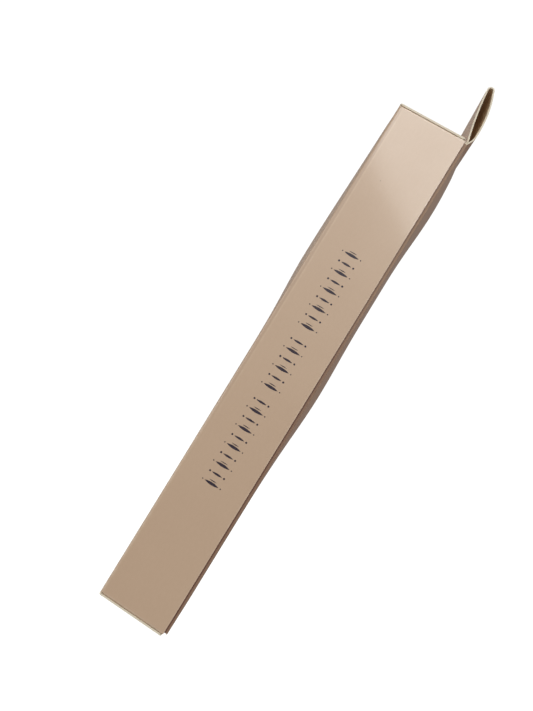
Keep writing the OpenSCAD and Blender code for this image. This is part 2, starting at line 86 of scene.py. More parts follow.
class Graph:
    """Short calls for the nodes of one material, which ends in one Principled shader."""

    def __init__(self, name):
        self.mat = bpy.data.materials.new(name)
        self.mat.use_nodes = True
        self.nt = self.mat.node_tree
        self.nt.nodes.clear()
        out = self.nt.nodes.new("ShaderNodeOutputMaterial")
        self.bsdf = self.nt.nodes.new("ShaderNodeBsdfPrincipled")
        self.nt.links.new(self.bsdf.outputs[0], out.inputs[0])
        self.coord = self.nt.nodes.new("ShaderNodeTexCoord").outputs["Object"]

    def link(self, value, socket):
        """Feeds a socket with another one or with a constant."""
        if isinstance(value, bpy.types.NodeSocket):
            self.nt.links.new(value, socket)
        else:
            socket.default_value = value

    def node(self, kind, out=0, **ins):
        """Adds a node: _name sets a property, i3 an input by its number, the rest inputs by name."""
        n = self.nt.nodes.new("ShaderNode" + kind)
        for key in [k for k in ins if k[0] == "_"]:
            setattr(n, key[1:], ins.pop(key))
        for key, value in ins.items():
            by_number = key[0] == "i" and key[1:].isdigit()
            self.link(value, n.inputs[int(key[1:]) if by_number else key])
        return n.outputs[out]

    def noise(self, scale, detail=3.0, rough=0.55, stretch=(1, 1, 1), distort=0.0):
        at = self.node("Mapping", Vector=self.coord, Scale=stretch)
        return self.node("TexNoise", Vector=at, Scale=scale, Detail=detail, Roughness=rough,
                         Distortion=distort)

    def ramp(self, fac, lo, hi, a=0.0, b=1.0):
        """a where fac is lo, b where it is hi, and straight between."""
        return self.node("MapRange", i0=fac, i1=lo, i2=hi, i3=a, i4=b)

    def mix(self, fac, a, b):
        return self.node("Mix", 2, _data_type="RGBA", i0=fac, i6=rgb(a), i7=rgb(b))

    def math(self, op, a, b=0.0):
        return self.node("Math", _operation=op, i0=a, i1=b)

    def bump(self, height, strength, distance=0.0001, **under):
        """A bumped normal; under may give the Normal that it is laid over."""
        return self.node("Bump", Height=height, Strength=strength, Distance=distance, **under)

    def attribute(self, name):
        return self.node("Attribute", "Fac", _attribute_name=name)

    def set(self, **values):
        """Feeds the shader's inputs and returns the finished material."""
        for key, value in values.items():
            self.link(rgb(value), self.bsdf.inputs[key.replace("_", " ")])
        return self.mat


def lin(c):
    """An sRGB value of 0 to 1 as a linear one."""
    return c / 12.92 if c <= 0.04045 else ((c + 0.055) / 1.055) ** 2.4


def rgb(c):
    """A colour given as sRGB 0 to 255, as the linear RGBA a socket takes."""
    if isinstance(c, tuple) and len(c) == 3:
        return tuple(lin(v / 255) for v in c) + (1.0,)
    return c


def printed_board():
    """The carton's outside: satin rose-beige coating with a faint pearl, fibre grain and rubbed folds; it
    also takes painted shade from a vertex attribute, and painted highlight lines on the near wall.
    """
    g = Graph("printed_board")
    cloud = g.noise(14, 4, 0.6)
    grain = g.noise(2600, 2, 0.5)
    fibre = g.noise(1100, 3, 0.6, (1, 1, 0.5))
    base = g.mix(g.ramp(cloud, 0.3, 0.7), (208, 181, 154), (203, 175, 148))
    base = g.mix(g.ramp(fibre, 0.42, 0.62, 0.0, 0.06), base, (226, 200, 178))
    cells = g.node("TexVoronoi", 0, Vector=g.coord, Scale=70.0)
    speck = g.math("LESS_THAN", cells, 0.016)
    base = g.mix(g.math("MULTIPLY", speck, 0.45), base, (120, 92, 76))
    squeezed = g.node("Mapping", Vector=g.coord, Scale=(1, 1, 1.03))
    light = g.math("LESS_THAN", g.node("TexVoronoi", 0, Vector=squeezed, Scale=112.0), 0.02)
    base = g.mix(g.math("MULTIPLY", light, 0.35), base, (240, 226, 210))
    # pale cream where the coating is rubbed, and on the near wall also painted highlight lines
    pale_mark = g.math("MULTIPLY", g.attribute("wear_and_highlight"),
                 g.ramp(g.noise(420, 4, 0.65), 0.36, 0.62, 0.25, 1.0))
    base = g.mix(g.math("MULTIPLY", pale_mark, 0.55), base, (233, 217, 196))
    # painted shade: dark brown mixed in where the attribute is set, standing in for shade in the seam and
    # on the near fold
    base = g.mix(g.attribute("painted_shade"), base, (118, 74, 58))
    rough = g.ramp(g.noise(60, 4, 0.6), 0.3, 0.7, 0.45, 0.52)
    height = g.math("ADD", g.math("MULTIPLY", grain, 0.6), fibre)
    wave = g.bump(g.noise(32, 2, 0.4), 0.10, 0.0006)
    return g.set(Base_Color=base, Roughness=rough, Normal=g.bump(height, 0.06, 0.00003, Normal=wave),
                 Specular_IOR_Level=1.0, Coat_Weight=0.8, Coat_Roughness=0.11,
                 Sheen_Weight=0.06, Sheen_Roughness=0.4)


def raw_board():
    """The carton's inside: uncoated, warm grey-cream, with paper fibres, and a faint painted glow that
    lifts its shade.
    """
    g = Graph("raw_board")
    fibre = g.noise(1300, 4, 0.5, (1, 1, 0.35), 0.4)
    base = g.mix(g.ramp(fibre, 0.35, 0.65), (222, 205, 178), (206, 187, 160))
    base = g.mix(g.ramp(g.noise(30, 3), 0.35, 0.7, 0, 0.25), base, (188, 168, 140))
    return g.set(Base_Color=base, Roughness=g.ramp(fibre, 0.3, 0.7, 0.78, 0.92),
                 Normal=g.bump(fibre, 0.35, 0.00008), Specular_IOR_Level=0.3,
                 Emission_Color=(128, 100, 74), Emission_Strength=0.07)    # painted light: a faint glow in place of light soaking through the board


def cut_board():
    """The board's cut edges: cream layers, slightly fuzzy."""
    g = Graph("cut_board")
    ply = g.noise(5200, 3, 0.6)
    base = g.mix(g.ramp(ply, 0.3, 0.7), (243, 237, 221), (228, 218, 197))
    base = g.mix(g.ramp(g.noise(160, 4, 0.7), 0.52, 0.7, 0, 0.5), base, (205, 188, 165))
    return g.set(Base_Color=base, Roughness=0.85, Normal=g.bump(ply, 0.4, 0.00006),
                 Specular_IOR_Level=0.25)


BOARD = (printed_board(), raw_board(), cut_board())


def print_ink():
    """Dark plum ink, a little uneven."""
    g = Graph("print_ink")
    speckle = g.noise(1500, 4, 0.7)
    base = g.mix(g.ramp(speckle, 0.4, 0.75), (44, 36, 52), (66, 54, 66))
    return g.set(Base_Color=base, Roughness=g.ramp(speckle, 0.3, 0.7, 0.42, 0.55),
                 Normal=g.bump(g.noise(2400, 2), 0.12, 0.00003), Coat_Weight=0.15, Coat_Roughness=0.3)


# ------------------------------------------------------------------ mesh helpers

def shade(bm, angle):
    """Smooth shading, but for edges sharper than angle in degrees."""
    for f in bm.faces:
        f.smooth = True
    for e in bm.edges:
        e.smooth = not (len(e.link_faces) == 2 and e.calc_face_angle(0) > math.radians(angle))


def mesh_object(name, bm, mats, angle=25.0):
    """A mesh object from bm, smooth but for edges sharper than angle."""
    bmesh.ops.recalc_face_normals(bm, faces=bm.faces)
    shade(bm, angle)
    me = bpy.data.meshes.new(name)
    bm.to_mesh(me)
    bm.free()
    for m in mats:
        me.materials.append(m)
    o = bpy.data.objects.new(name, me)
    bpy.context.scene.collection.objects.link(o)
    return o


def sheet(name, outer, normal, t=T, mats=BOARD, bevel=0.07, wear_and_highlight=None, painted_shade=None):
    """A solid sheet from a grid of outer points and normals, in mm, with rounded-off cut edges.
    mats are the outside, inside and edge materials; the rubbing function, which may hold painted
    highlight, and the painted shade function give 0 to 1 at a point."""
    outer, normal = np.asarray(outer, float), np.asarray(normal, float)
    normal = normal / np.linalg.norm(normal, axis=-1, keepdims=True)
    inner = outer - normal * t
    rows, cols = outer.shape[:2]
    bm = bmesh.new()
    vo = [[bm.verts.new(p * MM) for p in row] for row in outer]
    vi = [[bm.verts.new(p * MM) for p in row] for row in inner]

    def face(vs, k):
        f = bm.faces.new(vs)
        f.material_index = k

    for i in range(rows - 1):
        for j in range(cols - 1):
            face((vo[i][j], vo[i][j + 1], vo[i + 1][j + 1], vo[i + 1][j]), 0)
            face((vi[i][j], vi[i + 1][j], vi[i + 1][j + 1], vi[i][j + 1]), 1)
    for i in range(rows - 1):
        face((vo[i][0], vo[i + 1][0], vi[i + 1][0], vi[i][0]), 2)
        face((vo[i + 1][-1], vo[i][-1], vi[i][-1], vi[i + 1][-1]), 2)
    for j in range(cols - 1):
        face((vo[0][j + 1], vo[0][j], vi[0][j], vi[0][j + 1]), 2)
        face((vo[-1][j], vo[-1][j + 1], vi[-1][j + 1], vi[-1][j]), 2)
    rim = [e for e in bm.edges if len(e.link_faces) == 2
           and (e.link_faces[0].material_index == 2) != (e.link_faces[1].material_index == 2)]
    if bevel:
        bmesh.ops.bevel(bm, geom=rim, offset=bevel * MM, segments=2, profile=0.5,
                        affect="EDGES", material=2, clamp_overlap=True)
    layer = bm.verts.layers.float.new("wear_and_highlight")
    for v in bm.verts:
        edge = any(f.material_index == 2 for f in v.link_faces)
        v[layer] = 0.8 if edge else (wear_and_highlight(*(v.co / MM)) if wear_and_highlight else 0.0)
    # painted shade, stored per vertex as a second attribute
    if painted_shade:
        layer = bm.verts.layers.float.new("painted_shade")
        for v in bm.verts:
            v[layer] = painted_shade(*(v.co / MM))
    return mesh_object(name, bm, mats)


def arc(cy, cz, r, a0, a1, n):
    """Points and normals of an arc in a plane, angles in degrees from its first axis to its second."""
    a = np.radians(np.linspace(a0, a1, n))
    nrm = np.stack([np.cos(a), np.sin(a)], 1)
    return np.array([cy, cz]) + r * nrm, nrm


def left_of(path):
    """Unit normals to the left of a path in a plane."""
    along = np.gradient(path, axis=0)
    along /= np.linalg.norm(along, axis=1, keepdims=True)
    return np.stack([-along[:, 1], along[:, 0]], 1)


def piece(o, body, *nodes, slot):
    """o rides on body, in place of the CAD nodes if any are named."""
    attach(o, body)
    if nodes:
        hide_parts(*nodes)


def crease(o, a, b, start, end, *nodes):
    """Bakes o's transform into its mesh and hides the CAD nodes it stands for; a, b, start and end are
    not used.
    """
    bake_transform(o)
    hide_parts(*nodes)


# ------------------------------------------------------------------ carton walls

def gauss(z, mid, half):
    """A bump along the carton; mid and half are shares of its length."""
    return math.exp(-((z - mid * L) / (half * L)) ** 2)


def ends(z):
    """0 at the carton's ends and 1 from 8 mm inwards."""
    return math.sin(math.radians(90 * max(0.0, min(1, min(z, L - z) / 8))))


def bow_front(z):
    """How far the front panel's middle stands out at height z."""
    return ends(z) * FRONT_BOW * (0.39 + 0.61 * gauss(z, 0.705, 0.136 if z < 0.705 * L else 0.273))


def bow_back(z):
    """The same for the back panel."""
    return ends(z) * BACK_BOW * (0.08 + 0.72 * gauss(z, 0.486, 0.127) + 0.34 * gauss(z, 0.70, 0.114)
                            + 0.92 * gauss(z, 0.909, 0.109))


def edge_angle(bow, half):
    """The slope at the edge of a bowed panel, where its fold ends."""
    a = 0.0
    for _ in range(3):
        a = math.atan(2 * bow / (half + math.sin(a)))
    return a


def levels(z0, z1, n=96):
    """Heights from z0 to z1, closer together at the ends."""
    u = np.linspace(0, 1, n)
    mid = z0 + (z1 - z0) * u
    tight = np.concatenate([z0 + (mid[2] - z0) * np.array([0.12, 0.3, 0.55]),
                            z1 - (mid[2] - z0) * np.array([0.55, 0.3, 0.12])])
    return np.unique(np.concatenate([mid, tight]))


def broad_panel(name, half, mid, face, s, bow, z0, z1):
    """A bowed broad panel whose outside faces s (-1 front, 1 back)."""
    P, N = [], []
    for z in levels(z0, z1):
        b = bow(z)
        a = edge_angle(b, half)
        xe = half + math.sin(a) * FOLD
        ye = face - FOLD + math.cos(a) * FOLD
        db = (bow(z + 0.05) - bow(z - 0.05)) / 0.1
        row, nrm = [], []
        for u in np.linspace(-1, 1, 45):
            u = math.copysign(abs(u) ** 0.9, u)
            row.append((mid + u * xe, s * (ye + b * (1 - u * u)), z))
            nrm.append((2 * b * u / xe, s, -db * (1 - u * u)))
        P.append(row)
        N.append(nrm)
    return sheet(name, P, N, wear_and_highlight=fold_wear)


def fold_wear(x, y, z):
    """Rubbing of the coating near the carton's folds and ends."""
    corner = min(math.hypot(abs(x) - SIDE + 0.3, abs(y) - BACK + 0.3), 9)
    end = min(z, L - z)
    return min(1.0, math.exp(-(corner / 0.75) ** 2) + 0.55 * math.exp(-(end / 0.8) ** 2)
               * math.exp(-((SIDE - abs(x)) / 3.0) ** 2))


def beside_flap(y):
    """How much further a narrow wall reaches past the fold of its dust flap, beside that fold."""
    return 0.35 if y > 10.0 else 0.42 if y < -14.05 else 0.0


def side_wall(name, sx, plan_at, lift=beside_flap, wear_and_highlight=fold_wear, painted_shade=None):
    """A narrow wall on the side sx; plan_at(z) gives its outside's points and normals in plan."""
    P, N = [], []
    zs = levels(L - NARROW_TOP, NARROW_TOP)
    for k, z in enumerate(zs):
        pts, nrm = plan_at(z)
        past = 0 if 0 < k < len(zs) - 1 else 1 if k else -1
        P.append([(sx * x, y, z + past * lift(y)) for x, y in pts])
        N.append([(sx * a, b, 0) for a, b in nrm])
    return sheet(name, P, N, wear_and_highlight=wear_and_highlight, painted_shade=painted_shade)


def straight(x, ys):
    """Points and normals in plan of a flat stretch of wall."""
    return np.stack([np.full(len(ys), x), ys], 1), np.tile([1.0, 0.0], (len(ys), 1))


def front_fold(z):
    """From the side wall round to the front panel."""
    a = math.degrees(edge_angle(bow_front(z), SIDE - FOLD))
    return arc(SIDE - FOLD, -BACK + FOLD, FOLD, 0, -(90 - a), 11)


def near_plan(z):
    """The near wall from its cut edge at the seam round to the front panel."""
    p, n = front_fold(z)
    ys = np.concatenate([[13.68, 13.45, 13.2, 12.9, 11.5, 10.05, 9.9], np.linspace(8, -11.9, 11),
                         [-12.4, -12.65, -12.9, -13.15, -13.4, -13.7]])
    flat, out = straight(SIDE, ys)
    return np.concatenate([flat, p]), np.concatenate([out, n])


def far_plan(z):
    """The far wall from the back panel's fold round to the front panel."""
    p, n = front_fold(z)
    a = math.degrees(edge_angle(bow_back(z), BACK_HALF))
    q, m = arc(SIDE - FOLD, BACK - FOLD, FOLD, 90 - a, 0, 11)
    flat, out = straight(SIDE, np.linspace(13.2, -13.2, 16))
    return np.concatenate([q, flat, p]), np.concatenate([m, out, n])


def flap_plan(z):
    """The glue flap, under the near wall, and its fold into the back panel."""
    a = math.degrees(edge_angle(bow_back(z), BACK_HALF))
    q, m = arc(FLAP_X - FOLD, BACK - FOLD, FOLD, 90 - a, 0, 21)
    q[:, 1] -= 2.2 * np.linspace(0, 1, 21) ** 1.5           # a soft, long fold
    p = np.concatenate([q, straight(FLAP_X, np.linspace(11.0, 1.2, 8))[0]])
    n = left_of(p)
    n[0] = m[0]
    return p, n


def soft_fold(z):
    """How soft the near wall's front fold is drawn: crisp at the foot, soft where the panel bows. It only
    weights the painted shade, the painted highlight and the rubbing on that fold; the fold's shape stays
    the same.
    """
    return 1 / (1 + math.exp((0.40 * L - z) / 9.0))


def near_wear_and_highlight(x, y, z):
    """The near wall's rubbing, and two pale lines painted as highlights: one along its cut edge and one
    where its soft fold starts.
    """
    pale_mark = fold_wear(x, y, z) * (1 - 0.7 * soft_fold(z) if y < -13.2 else 1.0)
    # painted highlight: a pale line where the soft fold starts
    line = 0.5 * soft_fold(z) * math.exp(-((y + 12.9) / 0.25) ** 2)
    # painted highlight: a pale line along the cut edge
    return max(pale_mark, line, math.exp(-((y - 13.75) / 0.35) ** 2))


def fold_painted_shade(x, y, z):
    """Painted shade on the near wall's soft front fold, with a darker painted line along the fold."""
    if y > -13.3:
        return 0.0
    # painted shade: an even shade over the fold plus a dark line at y -14.75
    return soft_fold(z) * (0.15 + 0.22 * math.exp(-((y + 14.75) / 0.15) ** 2))


def seam_painted_shade(x, y, z):
    """Painted shade on the glue flap: an even shade, a dark line beside the near wall's edge, and more
    shade over the lower part of the carton.
    """
    # painted shade, deeper below 60% of the carton's length
    lower_painted_shade = 0.24 / (1 + math.exp((z - 0.60 * L) / 9.0))
    return min(1.0, 0.28 + lower_painted_shade + 0.5 * math.exp(-((y - 13.85) / 0.4) ** 2))


piece(side_wall("near_wall", 1, near_plan, wear_and_highlight=near_wear_and_highlight, painted_shade=fold_painted_shade), "carton",
      "near_side_panel", slot="board")
piece(side_wall("far_wall", -1, far_plan), "carton", "far_side_panel", slot="board")
piece(side_wall("glued_flap", 1, flap_plan, lift=lambda y: 0.0, wear_and_highlight=None, painted_shade=seam_painted_shade),
      "carton", "glue_flap", slot="board")
piece(broad_panel("front_wall", SIDE - FOLD, 0, BACK, -1, bow_front, LID_BEND, L - LID_BEND),
      "carton", "front_panel", slot="board")
piece(broad_panel("back_wall", BACK_HALF, BACK_MID, BACK, 1, bow_back, 1.0, L - LID_BEND),
      "carton", "back_panel", slot="board")


# ------------------------------------------------------------------ closures

def flip(P, N, top):
    """A grid made for the top end, mirrored to the bottom one when top is False."""
    P, N = np.array(P, float), np.array(N, float)
    if not top:
        P[..., 2] = L - P[..., 2]
        N[..., 2] *= -1
    return P, N


def swept(path, normal, widths, n=33):
    """A grid from a [y, z] path pushed across X between -w and w at each point."""
    P, N = [], []
    for (y, z), (ny, nz), w in zip(path, normal, widths):
        P.append([(x, y, z) for x in np.linspace(-w, w, n)])
        N.append([(0, ny, nz)] * n)
    return P, N


def lid_wear(x, y, z):
    """Rubbing of the coating along a lid's two creases."""
    return 0.9 * math.exp(-((y + BACK - 0.3) / 0.9) ** 2) + 0.8 * math.exp(-((y - 13.0) / 0.8) ** 2)


def end_name(top):
    return "top" if top else "bottom"


def at_end(top, z):
    """A height at the top end, or the same distance from the bottom one."""
    return z if top else L - z


def lid(top):
    """A lid between its crease on the front panel and the bend into its tuck flap."""
    p0, n0 = arc(-BACK + LID_BEND, L - LID_BEND, LID_BEND, 180, 90, 10)
    p1, n1 = arc(TUCK_Y, L - TUCK_BEND, TUCK_BEND, 90, 0, 9)
    ys = np.linspace(-13.8, 12.4, 30)
    flat = np.stack([ys, np.full(len(ys), L)], 1)
    path = np.concatenate([p0, flat, p1])
    nrm = np.concatenate([n0, np.tile([0.0, 1.0], (len(ys), 1)), n1])
    widths = np.full(len(path), LID_HALF)
    widths[:4] -= [0.7, 0.4, 0.15, 0.05]        # clear of the narrow walls' folds
    P, N = flip(*swept(path, nrm, widths), top)
    end = end_name(top)
    o = sheet(end + "_closure", P, N, t=LID_T, wear_and_highlight=lid_wear)
    crease(o, "carton", end + "_lid", (0, -BACK, at_end(top, L - LID_BEND)),
                  (0, -BACK + LID_BEND, at_end(top, L)), end + "_lid")


def tuck(top):
    """A tuck flap, leaning inwards, with rounded lower corners and a slight curl."""
    p0, n0 = arc(TUCK_Y, L - TUCK_BEND, TUCK_BEND, 0, -TUCK_LEAN, 5)
    lean = math.radians(TUCK_LEAN)
    d = np.array([-math.sin(lean), -math.cos(lean)])
    s = np.concatenate([[0.4, 0.8], np.linspace(1.5, 11.9, 16), [12.15, 12.3]])
    curl = 0.0018 * s ** 2
    flat = p0[-1] + s[:, None] * d + curl[:, None] * np.array([d[1], -d[0]])
    path = np.concatenate([p0, flat])
    nrm = np.concatenate([n0, np.tile(n0[-1], (len(s), 1))])
    down = np.concatenate([np.zeros(len(p0)), s])
    widths = np.interp(down, [0, 8.3, 9.6, 10.8, 11.6, 12.3], [30, 29.2, 28.8, 28.0, 27.0, 25.2])
    P, N = flip(*swept(path, nrm, widths), top)
    end = end_name(top)
    o = sheet(end + "_tuck_flap_board", P, N)
    crease(o, end + "_lid", end + "_tuck", (0, TUCK_Y + TUCK_BEND, at_end(top, 219.4)),
                  (0, 13.1, at_end(top, 218.5)), end + "_tuck_flap")


def dust(top, s):
    """The dust flap on the side s (1 near, -1 far), tapered and rounded at its tip."""
    p0, n0 = arc(SIDE - DUST_BEND, NARROW_TOP, DUST_BEND, 0, 90, 9)
    xs = np.concatenate([np.linspace(30.9, 11, 20), [10.2, 9.4, 8.7, 8.2, 8.0]])
    flat = np.stack([xs, DUST_Z - 0.0009 * (31 - xs) ** 2], 1)
    path = np.concatenate([p0, flat])
    nrm = np.concatenate([n0, np.tile([0.0, 1.0], (len(xs), 1))])
    P, N = [], []
    for (x, z), (nx, nz) in zip(path, nrm):
        y0 = np.interp(x, [8, 8.6, 11, 31, 32], [1.2, -0.9, -3.6, -13.7, -13.9])
        y1 = np.interp(x, [8, 8.5, 10, 32], [7.2, 8.0, 8.55, 10.0])
        ys = np.linspace(y0, y1, 17)
        P.append([(s * x, y, z) for y in ys])
        N.append([(s * nx, 0, nz)] * len(ys))
    P, N = flip(P, N, top)
    end, side = end_name(top), "near" if s > 0 else "far"
    o = sheet(f"{end}_dust_flap_{side}_board", P, N,
              wear_and_highlight=lambda x, y, z: 0.8 * math.exp(-((SIDE - abs(x) - 0.2) / 0.7) ** 2))
    crease(o, "carton", f"{end}_dust_{side}", (s * SIDE, 0, at_end(top, NARROW_TOP)),
                  (s * (SIDE - DUST_BEND), 0, at_end(top, DUST_Z)), f"{end}_dust_flap_{side}")


for is_top in (True, False):
    lid(is_top)
    tuck(is_top)
    for hand in (1, -1):
        dust(is_top, hand)


# ------------------------------------------------------------------ hang tab

HOLE_R, HOLE_Y, HOLE_Z = 4.0, 13.778, 232.5     # the hang hole, through both plies
HOLE_LEAN = 9.4                                 # degrees by which its axis leans with the tab
BENT = 21.7                                     # height on the tab where its rounded tip starts
PINCH = 1.9                                     # how much nearer the plies are at the far end


def front_ply(h):
    """Where the tab's front ply stands in Y, h above the carton."""
    return 14.6 - 0.267 * h + 0.0039 * h * h


def back_ply(h):
    """The same for its back ply."""
    return 15.35 + 1.05 * (1 - math.exp(-h / 1.5)) - 3.8 * (max(h, 0) / 22.7) ** 2.8


def smooth_path(pts, step):
    """A Catmull-Rom line through pts, resampled at about step."""
    p = np.array(pts, float)
    p = np.vstack([2 * p[0] - p[1], p, 2 * p[-1] - p[-2]])
    out = []
    for i in range(1, len(p) - 2):
        n = max(2, int(round(np.linalg.norm(p[i + 1] - p[i]) / step)))
        for t in np.arange(n) / n:
            out.append(0.5 * (2 * p[i] + (p[i + 1] - p[i - 1]) * t
                              + (2 * p[i - 1] - 5 * p[i] + 4 * p[i + 1] - p[i + 2]) * t * t
                              + (3 * p[i] - p[i - 1] - 3 * p[i + 1] + p[i + 2]) * t ** 3))
    out.append(p[-2])
    return np.array(out)


def hang_tab():
    """The tab: one board that rises from behind the lid, turns over and runs down its back."""
    up = [(14.05, -2.2), (14.07, -1.3), (14.18, -0.75), (14.4, -0.25), (14.5, 0.25), (14.42, 0.9)]
    up += [(front_ply(h), h) for h in (1.8, 3, 5, 7.5, 10, 12.5, 15, 17.5, 19.6, 21.3)]
    mid = (front_ply(BENT) + back_ply(BENT)) / 2
    half = (back_ply(BENT) - front_ply(BENT)) / 2
    tip = [(mid + half * math.cos(math.radians(a)),
            BENT + 0.05 + 1.25 * math.sin(math.radians(a)))
           for a in (155, 125, 95, 65, 35, 12)]
    down = [(back_ply(h), h) for h in (21, 19.4, 17.5, 15, 12.5, 10, 7.5, 5, 3.3, 2.2)]
    down += [(15.9, 1.35), (15.62, 0.75), (15.25, 0.1), (14.95, -0.4), (14.74, -0.8)]
    path = smooth_path(up + tip + down, 0.45) + np.array([0, L])
    nrm = left_of(path)                 # out of the loop: front on the way up
    outer = path + nrm * T / 2
    P, N = swept(outer, nrm, np.full(len(path), TAB_HALF), 61)
    P = np.array(P)
    for i in range(int(np.argmax(path[:, 1])), len(path)):
        bulge = math.sin(math.pi * min(max((path[i, 1] - L) / (BENT + 1), 0.0), 1.0))
        P[i, :, 1] -= PINCH * bulge * (TAB_HALF - P[i, :, 0]) / (2 * TAB_HALF)
    o = sheet("hang_tab_loop", P, N, bevel=0.06,
              wear_and_highlight=lambda x, y, z: 0.55 * math.exp(-((z - 242.9) / 0.7) ** 2)
              + 0.4 * math.exp(-((z - 220) / 0.6) ** 2))
    bm = bmesh.new()
    bmesh.ops.create_cone(bm, cap_ends=True, segments=64, radius1=HOLE_R * MM,
                          radius2=HOLE_R * MM, depth=30 * MM)
    lean = math.radians(HOLE_LEAN)
    axis = Vector((0, math.cos(lean), math.sin(lean)))
    bmesh.ops.transform(bm, verts=bm.verts, matrix=Matrix.Translation((0, HOLE_Y * MM, HOLE_Z * MM))
                        @ axis.to_track_quat("Z", "Y").to_matrix().to_4x4())
    for f in bm.faces:
        f.material_index = 2
    cut(o, mesh_object("punch", bm, BOARD))
    crease(o, "carton", "hang_tab", (0, BACK, L - 1), (0, BACK, L + 1.6),
                  "hang_tab_back_ply", "hang_tab_front_ply")


def cut(o, tool, how="DIFFERENCE"):
    """Cuts tool out of o, or joins it, and marks o's sharp edges again."""
    m = o.modifiers.new("cut", "BOOLEAN")
    m.object, m.operation, m.solver = tool, how, "EXACT"
    bpy.context.view_layer.update()
    me = bpy.data.meshes.new_from_object(o.evaluated_get(bpy.context.evaluated_depsgraph_get()))
    o.modifiers.clear()
    o.data = me
    bm = bmesh.new()
    bm.from_mesh(me)
    shade(bm, 25)
    bm.to_mesh(me)
    bm.free()
    bpy.data.objects.remove(tool)


def glue_strip():
    """The tab's glued end, on the inside of the bowed back panel."""
    P, N = [], []
    for z in levels(197.0, 217.9, 30):
        b = bow_back(z)
        row = [(x, BACK - 2 * T - 0.15 + b * (1 - ((x - BACK_MID) / BACK_HALF) ** 2), z)
               for x in np.linspace(-29.5, 29.5, 40)]
        P.append(row)
        N.append([(-2 * b * (x - BACK_MID) / BACK_HALF ** 2, -1, 0) for x, y, z in row])
    piece(sheet("tab_strip_board", P, N), "carton", "tab_glue_strip", slot="board")


hang_tab()
glue_strip()


# ------------------------------------------------------------------ printed ornament

def ornament():
    """A plain row of slim leaves and dots, printed along the narrow side."""
    rnd = random.Random(7)
    bm = bmesh.new()

    def blob(cy, cz, outline):
        vs = [bm.verts.new(Vector((SIDE + 0.004, cy + y, cz + z)) * MM) for y, z in outline]
        f = bm.faces.new(vs)
        top = bmesh.ops.extrude_face_region(bm, geom=[f])["geom"]
        for v in [g for g in top if isinstance(g, bmesh.types.BMVert)]:
            v.co.x += 0.014 * MM

    def leaf(cz, length, width):
        pts = []
        for s in list(np.linspace(0, 1, 15)) + list(np.linspace(1, 0, 15))[1:-1]:
            side = 1 if len(pts) < 15 else -1
            pts.append(((s - 0.5) * length, side * width / 2 * math.sin(math.pi * s) ** 0.8))
        blob(-0.4, cz, pts)

    def dot(cy, cz, r):
        blob(cy, cz, [(r * math.cos(k * math.pi / 9), r * math.sin(k * math.pi / 9))
                      for k in range(18)])

    z, pitch = 58.0, 4.0
    for count in (10, 6, 9):
        for k in range(count):
            size = 1.0 if k % 2 == 0 else 0.72
            leaf(z, 6.2 * size, 1.15 * size)
            for y, r in ((3.55, 0.26), (-4.35, 0.26)) if k % 2 == 0 else ((2.7, 0.4), (-3.5, 0.4)):
                dot(y, z, r * (0.95 + 0.1 * rnd.random()))
            if k % 2 == 0:
                leaf(z + 1.15, 3.4, 0.34)
            z += pitch
        z += 2.7
    return mesh_object("printed_ornament", bm, [print_ink()], 40)


piece(ornament(), "carton", slot="board")


# ------------------------------------------------------------------ materials of the contents

def moulded(name, colour, rough=0.35, texture=0.08, coat=0.0, **more):
    """Moulded plastic or rubber: a fine spark texture, a slight cloudiness and scuffed edges."""
    g = Graph(name)
    base = g.mix(g.ramp(g.noise(45, 3), 0.3, 0.7), colour, tuple(int(c * 0.985) for c in colour))
    base = g.mix(g.ramp(g.noise(2200, 2), 0.6, 0.75, 0, 0.10), base, tuple(int(c * 0.85) for c in colour))
    scuff = g.noise(190, 5, 0.7)
    spark = g.noise(3400, 2, 0.6)
    return g.set(Base_Color=base, Roughness=g.ramp(scuff, 0.45, 0.75, rough, rough + 0.07),
                 Normal=g.bump(spark, texture, 0.00004), Coat_Weight=coat, Coat_Roughness=0.15, **more)


def metal(name, colour, rough=0.28, grain=(1, 1, 0.03), depth=0.10):
    """Brushed or turned metal; grain stretches the brushing lines along an axis."""
    g = Graph(name)
    lines = g.noise(2600, 3, 0.6, grain)
    stain = g.noise(70, 4, 0.6)
    base = g.mix(g.ramp(lines, 0.35, 0.65), colour, tuple(int(c * 0.90) for c in colour))
    base = g.mix(g.ramp(stain, 0.5, 0.8, 0, 0.18), base, tuple(int(c * 0.80) for c in colour))
    return g.set(Base_Color=base, Metallic=1.0, Normal=g.bump(lines, depth, 0.00003),
                 Roughness=g.ramp(g.math("ADD", lines, stain), 0.8, 1.3, rough, rough + 0.16))


def clear(name, colour, rough):
    """Clear plastic with a little haze."""
    g = Graph(name)
    haze = g.noise(140, 4, 0.6)
    return g.set(Base_Color=g.mix(g.ramp(haze, 0.3, 0.7), colour, tuple(c - 4 for c in colour)),
                 Roughness=g.ramp(haze, 0.35, 0.75, rough, rough + 0.09), Transmission_Weight=0.92,
                 IOR=1.45, Normal=g.bump(g.noise(300, 3), 0.05, 0.00005))


def paper():
    """Uncoated white paper with visible fibres."""
    g = Graph("leaflet_paper")
    fibre = g.noise(1600, 5, 0.7, (1, 1, 0.5))
    base = g.mix(g.ramp(fibre, 0.35, 0.65), (246, 245, 241), (234, 232, 226))
    return g.set(Base_Color=base, Roughness=0.85, Normal=g.bump(fibre, 0.25, 0.00004),
                 Specular_IOR_Level=0.25)


def foil_wrap():
    """The battery's pouch: dull aluminium laminate with soft wrinkles."""
    g = Graph("cell_wrap")
    wrinkle = g.noise(130, 5, 0.6, (1, 1, 0.6), 1.2)
    base = g.mix(g.ramp(wrinkle, 0.3, 0.7), (178, 184, 190), (148, 154, 162))
    return g.set(Base_Color=base, Metallic=0.85, Roughness=g.ramp(wrinkle, 0.3, 0.7, 0.32, 0.5),
                 Normal=g.bump(wrinkle, 0.30, 0.00025))


